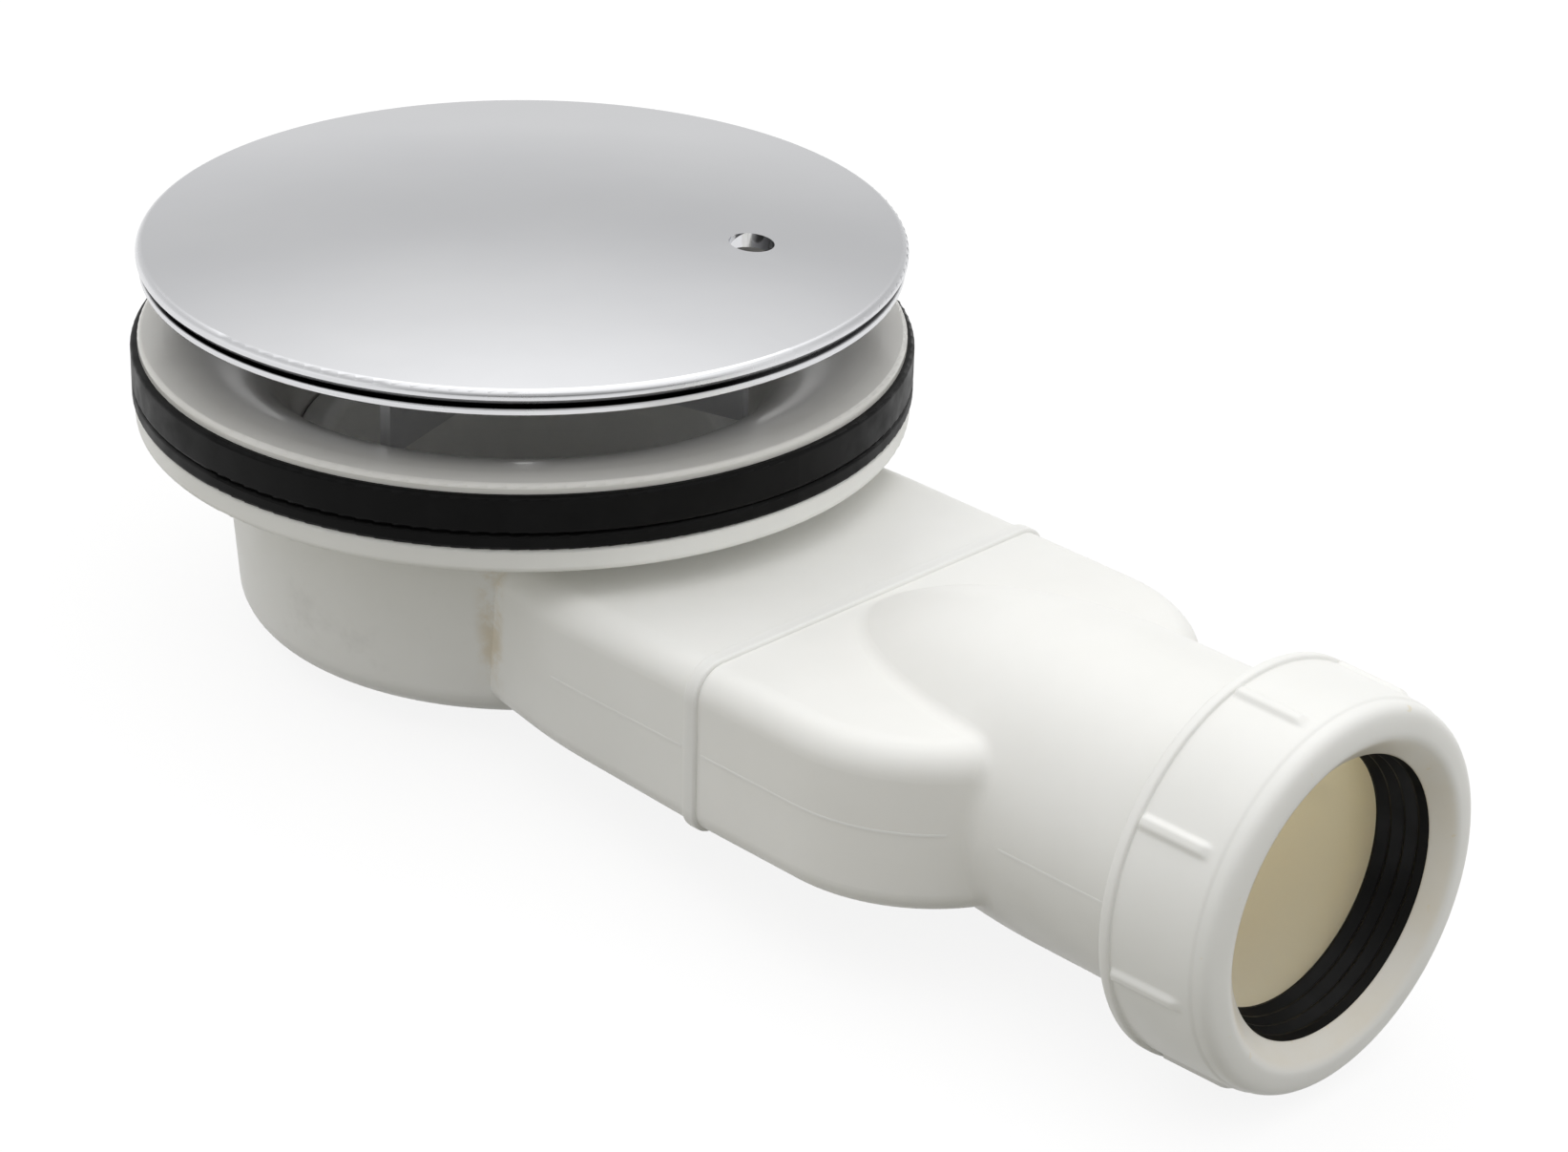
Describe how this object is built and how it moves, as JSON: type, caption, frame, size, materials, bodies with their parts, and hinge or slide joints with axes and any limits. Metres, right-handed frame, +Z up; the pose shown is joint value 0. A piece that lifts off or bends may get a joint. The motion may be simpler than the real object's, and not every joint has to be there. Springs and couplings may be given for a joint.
{
  "type": "shower drain",
  "caption": "Low-profile shower trap with a chromed dome cover on fins, a clamping flange with black seals, a white bowl with a flat channel, and a side outlet with a compression nut.",
  "frame": {"origin": "on the drain axis, at the underside of the clamping flange's rim, where it bears on its seal", "axes": "+Z up along the drain axis, +X towards the outlet along the channel"},
  "size_m": [0.2224, 0.1178, 0.0775],
  "materials": {
    "chrome": "polished",
    "flange_plastic": "gloss",
    "white_plastic": "satin gloss",
    "rubber": "matt"
  },
  "bodies": {
    "root": {"dome_cover": "chrome", "clamping_flange": "flange_plastic", "flange_seal": "rubber", "tray_seal": "rubber", "trap_body": "white_plastic", "outlet_adaptor": "white_plastic", "compression_nut": "white_plastic", "outlet_seal": "rubber", "dip_tube": "white_plastic", "dip_tube_seal": "rubber"}
  },
  "joints": []
}
